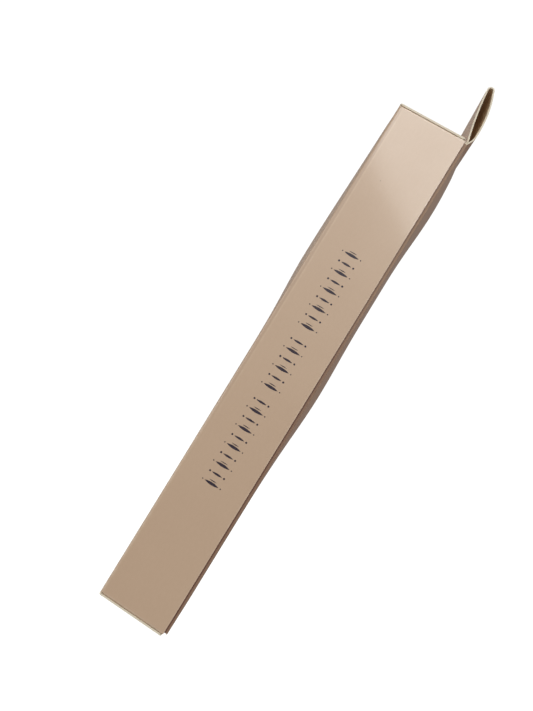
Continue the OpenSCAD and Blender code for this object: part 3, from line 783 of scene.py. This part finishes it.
def foam():
    """Closed-cell foam."""
    g = Graph("foam")
    pores = g.node("TexVoronoi", 0, Vector=g.coord, Scale=1500.0)
    base = g.mix(g.ramp(pores, 0.0, 0.5), (196, 194, 190), (232, 231, 227))
    return g.set(Base_Color=base, Roughness=0.95, Normal=g.bump(pores, 0.6, 0.0001))


def laminate():
    """Circuit board: green solder mask over copper tracks."""
    g = Graph("laminate")
    tracks = g.node("TexBrick", 1, Vector=g.node("Mapping", 0, Vector=g.coord,
                    Rotation=(math.pi / 2, 0, 0)), Scale=260.0, i6=0.03, _offset=0.37, _squash=0.7)
    base = g.mix(g.ramp(tracks, 0.2, 0.8, 0, 0.55), (24, 92, 58), (72, 136, 84))
    base = g.mix(g.ramp(g.noise(900, 4), 0.62, 0.7, 0, 0.5), base, (188, 160, 96))
    return g.set(Base_Color=base, Roughness=g.ramp(g.noise(500, 3), 0.3, 0.7, 0.28, 0.4),
                 Normal=g.bump(tracks, 0.25, 0.00005), Coat_Weight=0.4, Coat_Roughness=0.2)


def winding():
    """Transformer: enamelled copper turns between ferrite."""
    g = Graph("winding")
    turns = g.node("TexWave", 1, Vector=g.coord, Scale=620.0, Distortion=0.6, Detail=2.0,
                   _bands_direction="Z")
    base = g.mix(g.ramp(turns, 0.25, 0.7), (118, 62, 26), (205, 122, 62))
    return g.set(Base_Color=base, Metallic=0.6, Roughness=0.34, Normal=g.bump(turns, 0.5, 0.0001))


def ceramic():
    """Piezo discs: fired silver faces on a sandy grey ceramic."""
    g = Graph("piezo")
    grit = g.noise(2400, 5, 0.7)
    base = g.mix(g.ramp(grit, 0.35, 0.7), (150, 140, 126), (116, 108, 98))
    return g.set(Base_Color=base, Roughness=g.ramp(grit, 0.3, 0.7, 0.55, 0.7),
                 Normal=g.bump(grit, 0.3, 0.00005))


SHELL = moulded("shell_plastic", (238, 227, 218), 0.26, 0.05, 0.35)
ROSE_GOLD = metal("rose_gold", (232, 188, 162), 0.20, (1, 1, 1), 0.05)
STEEL = metal("blade_steel", (206, 208, 211), 0.18, (0.03, 1, 1))
ALUMINIUM = metal("horn_aluminium", (214, 216, 219), 0.34, (1, 1, 0.4), 0.15)
TURNED = metal("plain_steel", (176, 178, 182), 0.30, (1, 0.06, 1))
BRASS = metal("contact_brass", (214, 176, 98), 0.30, (1, 1, 1))
RUBBER = moulded("soft_rubber", (150, 137, 128), 0.62, 0.22)
LINER = moulded("tray_film", (240, 239, 236), 0.34, 0.05, 0.2, Subsurface_Weight=0.05)
LED = moulded("led_body", (244, 240, 222), 0.30, 0.03, 0.5)
SWITCH = moulded("switch_black", (32, 32, 35), 0.42, 0.12)
RED = moulded("wire_red", (176, 34, 32), 0.38, 0.05)
BLUE = moulded("wire_blue", (36, 74, 168), 0.38, 0.05)
CLEAR_CAP = clear("cap_clear", (240, 246, 248), 0.05)
PIPE = clear("light_pipe", (236, 242, 246), 0.12)


# ------------------------------------------------------------------ contents

def finish_node(node, material, bevel):
    """A carried-over CAD node: its material, and its edges broken by a bevel."""
    o = NODES[node]
    o.data.materials.clear()
    o.data.materials.append(material)
    m = o.modifiers.new("broken_edges", "BEVEL")
    m.width, m.segments, m.limit_method = bevel * MM, 2, "ANGLE"
    m.angle_limit = math.radians(38)


def rounded_outline(w, z0, z1, r0, r1, inset=0.0, n=9):
    """A closed outline in X and Z with radius r0 at its lower corners and r1 at its upper ones."""
    w, z0, z1 = w / 2 - inset, z0 + inset, z1 - inset
    pts = []
    for cx, cz, r, a in ((w, z0, r0, -90), (w, z1, r1, 0), (-w, z1, r1, 90), (-w, z0, r0, 180)):
        r = max(r - inset, 0.05)
        for k in range(n):
            t = math.radians(a + 90 * k / (n - 1))
            pts.append((math.copysign(abs(cx) - r, cx) + r * math.cos(t),
                        cz + (r if cz == z0 else -r) + r * math.sin(t)))
    return pts


def loft(bm, rings):
    """Skins a list of equal rings of points, in mm, and closes both ends."""
    vs = [[bm.verts.new(Vector(p) * MM) for p in ring] for ring in rings]
    n = len(vs[0])
    for a, b in zip(vs, vs[1:]):
        for k in range(n):
            bm.faces.new((a[k], a[(k + 1) % n], b[(k + 1) % n], b[k]))
    bm.faces.new(vs[0][::-1])
    bm.faces.new(vs[-1])


def lofted(name, rings, material, angle=25.0):
    """An object skinned over rings."""
    bm = bmesh.new()
    loft(bm, rings)
    return mesh_object(name, bm, [material], angle)


def edge_rings(outline, y_edge, y_face, radius, crown=0.0, steps=7):
    """Rings from a side wall at y_edge over a rounded edge on to the face at y_face.
    outline(inset) gives the outline; the face rises by crown to its middle."""
    s = 1 if y_face > y_edge else -1
    rings = [[(x, y_edge, z) for x, z in outline(0)]]
    for k in range(steps + 1):
        a = math.radians(90 * k / steps)
        y = y_face - s * radius * (1 - math.sin(a))
        rings.append([(x, y, z) for x, z in outline(radius * (1 - math.cos(a)))])
    rings.append([(x, y_face, z) for x, z in outline(radius + 0.12)])
    if crown:
        flat = outline(radius)
        mid = np.mean(flat, axis=0)
        for u in (0.8, 0.5, 0.2):
            rings.append([(mid[0] + (x - mid[0]) * u, y_face + s * crown * (1 - u * u),
                           mid[1] + (z - mid[1]) * u) for x, z in flat])
    return rings


def slab(name, outline, y0, y1, round0, round1, material, crown=0.0):
    """A solid between y0 and y1 with both faces' edges rounded."""
    mid = (y0 + y1) / 2
    a = edge_rings(outline, mid, y0, round0, crown)
    b = edge_rings(outline, mid, y1, round1, crown)
    return lofted(name, a[::-1] + b[1:], material)


def box_tool(lo, hi):
    """A cutting block between two corners."""
    bm = bmesh.new()
    bmesh.ops.create_cube(bm, size=1)
    for v in bm.verts:
        v.co = Vector([(lo[i] + hi[i]) / 2 + v.co[i] * (hi[i] - lo[i]) for i in range(3)]) * MM
    return mesh_object("tool", bm, [])


def turned(profile, x, z, sides):
    """Rings about the Y axis through x, z, from [radius, y] points."""
    turn = np.linspace(0, 2 * math.pi, sides + 1)[:-1]
    return [[(x + r * math.cos(a), y, z + r * math.sin(a)) for a in turn] for r, y in profile]


def rod_tool(x, z, y0, y1, r):
    """A cutting rod along Y."""
    return lofted("tool", turned([(r, y0), (r, y1)], x, z, 48), SHELL)


def low(node):
    """The low corner of a CAD node's box, in mm."""
    return [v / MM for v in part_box(node)[0]]


def high(node):
    """Its high corner."""
    return [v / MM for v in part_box(node)[1]]


def middle_z(node):
    return (low(node)[2] + high(node)[2]) / 2


HANDLE_W = high("front_shell")[0] * 2
Z_LOW, Z_HIGH = low("front_shell")[2], high("front_shell")[2]
FRONT, REAR = low("front_shell")[1], high("rear_shell")[1]
PART = (FRONT + REAR) / 2               # where the two shells meet
WALL = 1.6                              # shell thickness
SCREWS = [(sx * (HANDLE_W / 2 - 5), z) for z in (30, Z_HIGH - 14) for sx in (-1, 1)]
POWER_Z, POWER_D = middle_z("power_button"), 10
MODE_Z, MODE_D = middle_z("mode_button"), 8
PIPE_Z = middle_z("light_pipe")


def handle(inset):
    """The handle's outline: broad corners at its foot, tighter ones at its head."""
    return rounded_outline(HANDLE_W, Z_LOW, Z_HIGH, 14, 8, inset, 13)


def shell(node, face):
    """A half shell with a soft outer edge; face is the outer face's Y."""
    s = 1 if face > PART else -1
    edge = PART + s * 0.5
    outer = edge_rings(handle, edge, face, 3.6, 0.0, 9)
    inner = edge_rings(lambda d: handle(WALL + d), edge, face - s * WALL, 2.2, 0.0, 7)
    lip = [[(x, y, z) for x, z in handle(inset)]
           for inset, y in ((WALL, PART + s * 0.02), (WALL * 0.55, PART + s * 0.02),
                            (WALL * 0.55, edge))]
    o = lofted(node + "_body", inner[::-1] + lip + outer, SHELL)
    for x, z in SCREWS:
        cut(o, rod_tool(x, z, edge + s * 0.02, face - s * (WALL - 0.4), 2.4), "UNION")
    cut(o, box_tool((-15, PART - 4.2, Z_HIGH - 12), (15, PART + 4.2, Z_HIGH + 1)))
    return o


def front_shell():
    """The front shell, open for the two buttons, the light pipe and the charging socket."""
    o = shell("front_shell", FRONT)
    for z, d in ((POWER_Z, POWER_D), (MODE_Z, MODE_D)):
        cut(o, rod_tool(0, z, FRONT - 1, FRONT + 3, d / 2 + 0.2))
    cut(o, box_tool((-6.1, FRONT - 1, PIPE_Z - 1.1), (6.1, FRONT + 3, PIPE_Z + 1.1)))
    lo, hi = low("charging_socket"), high("charging_socket")
    cut(o, box_tool((lo[0] - 0.2, lo[1] - 0.2, Z_LOW - 1), (hi[0] + 0.2, hi[1] + 0.2, Z_LOW + 2.2)))
    for x, z in SCREWS:
        cut(o, rod_tool(x, z, PART - 6, PART + 2, 1.0))
    piece(o, "carton", "front_shell", slot="shell")


def rear_shell():
    """The rear shell, with screw holes and a recess for the contact plate."""
    o = shell("rear_shell", REAR)
    for x, z in SCREWS:
        cut(o, rod_tool(x, z, PART - 2, REAR + 2, 1.15))
        cut(o, rod_tool(x, z, REAR - 1.6, REAR + 2, 2.0))
    cut(o, slab("tool", lambda d: rounded_outline(18, 35, 85, 6, 6, d), REAR - 0.6, REAR + 1,
                0.02, 0.02, SHELL))
    piece(o, "carton", "rear_shell", slot="shell")


def button(node, body, z, d):
    """A dished key with a soft rim, and its flange behind the shell."""
    top, back, r = low(node)[1], FRONT + WALL, d / 2
    profile = [(0.01, top + 0.28), (r * 0.3, top + 0.26), (r * 0.6, top + 0.14),
               (r * 0.78, top + 0.02), (r - 0.35, top), (r - 0.12, top + 0.08), (r, top + 0.3),
               (r, back + 0.05), (r + 0.9, back + 0.05), (r + 1, back + 0.15),
               (r + 1, back + 0.75), (r + 0.9, back + 0.85), (0.01, back + 0.85)]
    piece(lofted(node + "_key", turned(profile, 0, z, 64), ROSE_GOLD, 35), body, node, slot="trim")


def seal():
    """The soft seal at the head, with a slot for the blade and a rounded lip."""
    foot, top, lip = low("head_seal")[2], high("head_seal")[2], 0.9

    def ring(d, z, w=34.0, t=12.0, r=4.0):
        return [(x, PART + y, z) for x, y in rounded_outline(w, -t / 2, t / 2, r, r, d)]

    rings = [ring(0, foot, 29.8, 8.2, 0.6), ring(0, Z_HIGH, 29.8, 8.2, 0.6), ring(0.25, Z_HIGH),
             ring(0, Z_HIGH + 0.25)]
    for a in np.radians(np.arange(0, 91, 15)):
        rings.append(ring(lip * (1 - math.cos(a)), top - lip + lip * math.sin(a)))
    o = lofted("soft_head_seal", rings, RUBBER)
    cut(o, box_tool((-14.6, PART - 0.5, foot - 2), (14.6, PART + 0.5, top + 1)))
    piece(o, "carton", "head_seal", slot="soft_rubber")


def blade():
    """The spatula blade, ground to a thin edge at its tip, with its tang."""
    lo, hi = low("scrubber_blade"), high("scrubber_blade")
    root, half, t = Z_HIGH - 3.5, hi[0], (hi[1] - lo[1]) / 2
    tang = 8.0
    right = [(tang, lo[2]), (tang, root - 0.6), (tang + 0.6, root), (half - 1, root), (half, root + 1),
             (half, hi[2] - 12)]
    right += [(half - 5 + 5 * math.cos(a), hi[2] - 5 + 5 * math.sin(a))
              for a in np.radians(np.linspace(0, 90, 13))]
    right += [(half - 9, hi[2])]
    outline = right + [(-x, z) for x, z in reversed(right)]

    def thickness(z):
        return t * np.interp(z, [hi[2] - 4, hi[2]], [1.0, 0.22])

    def ring(y, scale):
        return [(x * (1 - 0.12 * (1 - scale) / half), PART + y * thickness(z), z) for x, z in outline]

    bm = bmesh.new()
    loft(bm, [ring(-1, 0), ring(-0.8, 1), ring(0.8, 1), ring(1, 0)])
    for f in [f for f in bm.faces if len(f.verts) > 4]:
        bmesh.ops.triangulate(bm, faces=[f])
    o = mesh_object("spatula_blade", bm, [STEEL], 30)
    piece(o, "carton", "scrubber_blade", slot="blade_steel")


def blade_cap():
    """A clear snap-on cap, open at its foot, with walls about 1.2 mm thick."""
    lo, hi = low("protective_cap"), high("protective_cap")
    half = hi[0]
    outer = lambda d: rounded_outline(2 * half, lo[2], hi[2], 3, 8, d, 13)
    o = slab("clear_cap", outer, lo[1], hi[1], 1.8, 1.8, CLEAR_CAP)
    inner = lambda d: rounded_outline(2 * half - 2.8, lo[2] - 3, hi[2] - 1.8, 0.2, 6.5, d, 13)
    cut(o, slab("tool", inner, lo[1] + 1.3, hi[1] - 1.3, 0.9, 0.9, CLEAR_CAP))
    piece(o, "blade_cap", "protective_cap", slot="cap")


def plate(name, node, corner, front_edge, back_edge, material, slot, crown=0.0):
    """A flat piece as big as its CAD node, with rounded corners and edges and crowned faces."""
    lo, hi = low(node), high(node)
    o = slab(name, lambda d: rounded_outline(hi[0] * 2, lo[2], hi[2], corner, corner, d),
             lo[1], hi[1] - crown, front_edge, back_edge, material, crown)
    piece(o, "carton", node, slot=slot)


def lead(name, node, xs, bend, r, material, slot):
    """Insulated wires along a cubic curve in Y and Z, one at each x."""
    p = np.array(bend)
    bm = bmesh.new()
    for x in xs:
        rings = []
        for u in np.linspace(0, 1, 36):
            v = 1 - u
            c = v ** 3 * p[0] + 3 * u * v * v * p[1] + 3 * u * u * v * p[2] + u ** 3 * p[3]
            d = v * v * (p[1] - p[0]) + 2 * u * v * (p[2] - p[1]) + u * u * (p[3] - p[2])
            d /= np.linalg.norm(d)
            rings.append([(x + r * math.cos(a), c[0] - r * math.sin(a) * d[1],
                           c[1] + r * math.sin(a) * d[0]) for a in np.linspace(0, 2 * math.pi, 17)[:-1]])
        loft(bm, rings)
    piece(mesh_object(name, bm, [material], 50), "carton", node, slot=slot)


def leaflet():
    """One strip of paper folded in three, in a zigzag."""
    lo, hi = low("user_leaflet"), high("user_leaflet")
    t, z1, x = 0.16, hi[2], hi[0]
    ys = [lo[1] + 0.14, lo[1] + 0.72, lo[1] + 1.30]
    path = [(ys[0], z) for z in np.linspace(lo[2], z1 - 1, 24)]
    r = (ys[1] - ys[0]) / 2
    turn = [(r - r * math.cos(a), r * math.sin(a)) for a in np.radians(np.arange(20, 180, 20))]
    path += [(ys[0] + y, z1 - 1 + z) for y, z in turn]
    path += [(ys[1] + 0.03 * math.sin(k), z)
             for k, z in enumerate(np.linspace(z1 - 1.4, lo[2] + 3.4, 24))]
    path += [(ys[1] + y, lo[2] + 3 - z) for y, z in turn]
    path += [(ys[2], z) for z in np.linspace(lo[2] + 3.4, z1 - 3, 24)]
    path = np.array(path)
    nrm = left_of(path)
    P, N = swept(path + nrm * t / 2, nrm, np.full(len(path), x - 0.1), 9)
    o = sheet("folded_leaflet", P, N, t=t, mats=(paper(),) * 3, bevel=0)
    piece(o, "carton", "user_leaflet", slot="leaflet_paper")


front_shell()
rear_shell()
button("power_button", "power_key", POWER_Z, POWER_D)
button("mode_button", "mode_key", MODE_Z, MODE_D)
plate("contact_plate", "hand_contact_plate", 5.9, 0.08, 0.2, STEEL, "blade_steel", 0.12)
seal()
blade()
blade_cap()
plate("pouch_cell", "battery_cell", 2.2, 1.7, 1.7, foil_wrap(), "cell_wrap")
plate("foam_pad", "battery_pad", 1, 0.12, 0.12, foam(), "foam")
leaflet()
WIRE_R = 0.45
pcb_back = high("circuit_board")[1] + 0.05
cell_foot = low("battery_cell")[2]
lead("battery_wires", "battery_leads", (-4, 4),
     [(0.6, cell_foot - 0.1), (0.6, cell_foot - 9), (-2, cell_foot - 9), (pcb_back, cell_foot - 9)],
     WIRE_R, RED, "wire_red")
pcb_top, stack_foot = high("circuit_board")[2], low("blade_horn")[2]
lead("transducer_wires", "transducer_leads", (-6.6, 6.6),
     [(pcb_back, pcb_top - 2), (PART, pcb_top - 2), (PART, pcb_top + 2), (PART, stack_foot - 2)],
     WIRE_R, BLUE, "wire_blue")

for kept, look, broken in (
        ("inner_tray", LINER, 0.35), ("trim_band", ROSE_GOLD, 0.12), ("damping_ring", RUBBER, 0.3),
        ("blade_horn", ALUMINIUM, 0.3), ("tail_mass", ALUMINIUM, 0.3), ("piezo_discs", ceramic(), 0.12),
        ("electrode_washer", BRASS, 0.06), ("transducer_bolt", TURNED, 0.25),
        ("shell_screws", TURNED, 0.1), ("charging_socket", TURNED, 0.08),
        ("circuit_board", laminate(), 0.08), ("drive_transformer", winding(), 0.2),
        ("tact_switches", SWITCH, 0.12), ("indicator_leds", LED, 0.12), ("light_pipe", PIPE, 0.15)):
    finish_node(kept, look, broken)


# ------------------------------------------------------------------ stage, light and camera

def floor_white():
    """A floor that shows as plain white."""
    g = Graph("floor_white")
    tint = g.mix(g.ramp(g.noise(3, 2), 0.3, 0.7), (120, 120, 119), (118, 118, 117))
    return g.set(Base_Color=tint, Roughness=0.9, Emission_Color=(255, 255, 255),
                 Emission_Strength=1.0)


def floor():
    """A white floor that neither lights the carton nor shows in it."""
    bm = bmesh.new()
    bmesh.ops.create_grid(bm, x_segments=40, y_segments=40, size=6.0,
                          matrix=Matrix.Translation((0, 0, -0.3)))
    o = mesh_object("floor", bm, [floor_white()])
    o.visible_diffuse = o.visible_glossy = o.visible_transmission = False
    o.visible_shadow = False


DARK_SIDE = (0.17, 0.110, 0.087, 1)     # light from the warm, dim side of the room
LIGHT_SIDE = (0.30, 0.30, 0.29, 1)      # and from the side of its window
TOWARDS_LIGHT = (0.55, -0.62, 0.56)


def world():
    """White to the camera; on the object, a room that brightens towards its window."""
    w = bpy.data.worlds.new("studio")
    bpy.context.scene.world = w
    w.use_nodes = True
    nt = w.node_tree
    nt.nodes.clear()
    ray, toward, level, tone, lit, path, seen, mix, out = (
        nt.nodes.new("ShaderNode" + kind) for kind in
        ("TexCoord", "VectorMath", "MapRange", "Mix", "Background", "LightPath", "Background",
         "MixShader", "OutputWorld"))
    toward.operation = "DOT_PRODUCT"
    toward.inputs[1].default_value = Vector(TOWARDS_LIGHT).normalized()
    for i, v in enumerate((-0.9, 1.0, 0.0, 1.0), 1):
        level.inputs[i].default_value = v
    tone.data_type = "RGBA"
    tone.inputs[6].default_value, tone.inputs[7].default_value = DARK_SIDE, LIGHT_SIDE
    seen.inputs[0].default_value, seen.inputs[1].default_value = (1, 1, 1, 1), 1.05
    for a, b in ((ray.outputs["Generated"], toward.inputs[0]),
                 (toward.outputs["Value"], level.inputs[0]), (level.outputs[0], tone.inputs[0]),
                 (tone.outputs[2], lit.inputs[0]), (path.outputs["Is Camera Ray"], mix.inputs[0]),
                 (lit.outputs[0], mix.inputs[1]), (seen.outputs[0], mix.inputs[2]),
                 (mix.outputs[0], out.inputs[0])):
        nt.links.new(a, b)


def area(name, at, to, size, watts, colour=(1, 1, 1), roll=0):
    """A rectangular light at a place, aimed at another and rolled by so many degrees."""
    d = bpy.data.lights.new(name, "AREA")
    d.shape = "RECTANGLE"
    d.size, d.size_y = size
    d.energy, d.color = watts, colour
    o = bpy.data.objects.new(name, d)
    o.location = at
    o.rotation_mode = "QUATERNION"
    aim = (Vector(to) - Vector(at)).to_track_quat("-Z", "Y")
    o.rotation_quaternion = aim @ Quaternion((0, 0, 1), math.radians(roll))
    o.visible_camera = False
    bpy.context.scene.collection.objects.link(o)
    return o


world()
floor()
area("window", (1.76, -0.305, 1.524), (0.03, 0, 0.2), (2.4, 1.0), 33, (1.0, 0.99, 0.955), -30)
area("side_fill", (0.8, -0.9, 0.2), (0.03, 0.0, 0.15), (0.6, 0.6), 1.8)
for fill in (area("back_fill", (-0.7, 2.0, 0.7), (0, 0, 0.11), (1.2, 1.2), 8, (1.0, 0.96, 0.92)),
             area("far_fill", (-1.6, -1.2, 0.9), (0, 0, 0.11), (1.4, 1.4), 24, (1.0, 0.98, 0.95))):
    fill.visible_glossy = False

EYE = (0.25962, 0.01521, 0.10628)       # facing the near wall, from a hand's distance
PITCH, YAW, ROLL = (math.radians(a) for a in (-0.963, -5.846, -31.508))

camera = bpy.data.cameras.new("camera")
camera.sensor_width, camera.lens = 36, 30.481
camera.clip_start, camera.clip_end = 0.01, 30
eye = bpy.data.objects.new("camera", camera)
bpy.context.scene.collection.objects.link(eye)
bpy.context.scene.camera = eye
facing = Matrix(((0, 1, 0), (0, 0, 1), (1, 0, 0)))      # looks along -X, with +Z up
turn = (Matrix.Rotation(ROLL, 3, "Z") @ Matrix.Rotation(YAW, 3, "Y")
        @ Matrix.Rotation(PITCH, 3, "X") @ facing)
eye.matrix_world = Matrix.Translation(EYE) @ turn.transposed().to_4x4()
bpy.context.scene.view_settings.view_transform = "Standard"
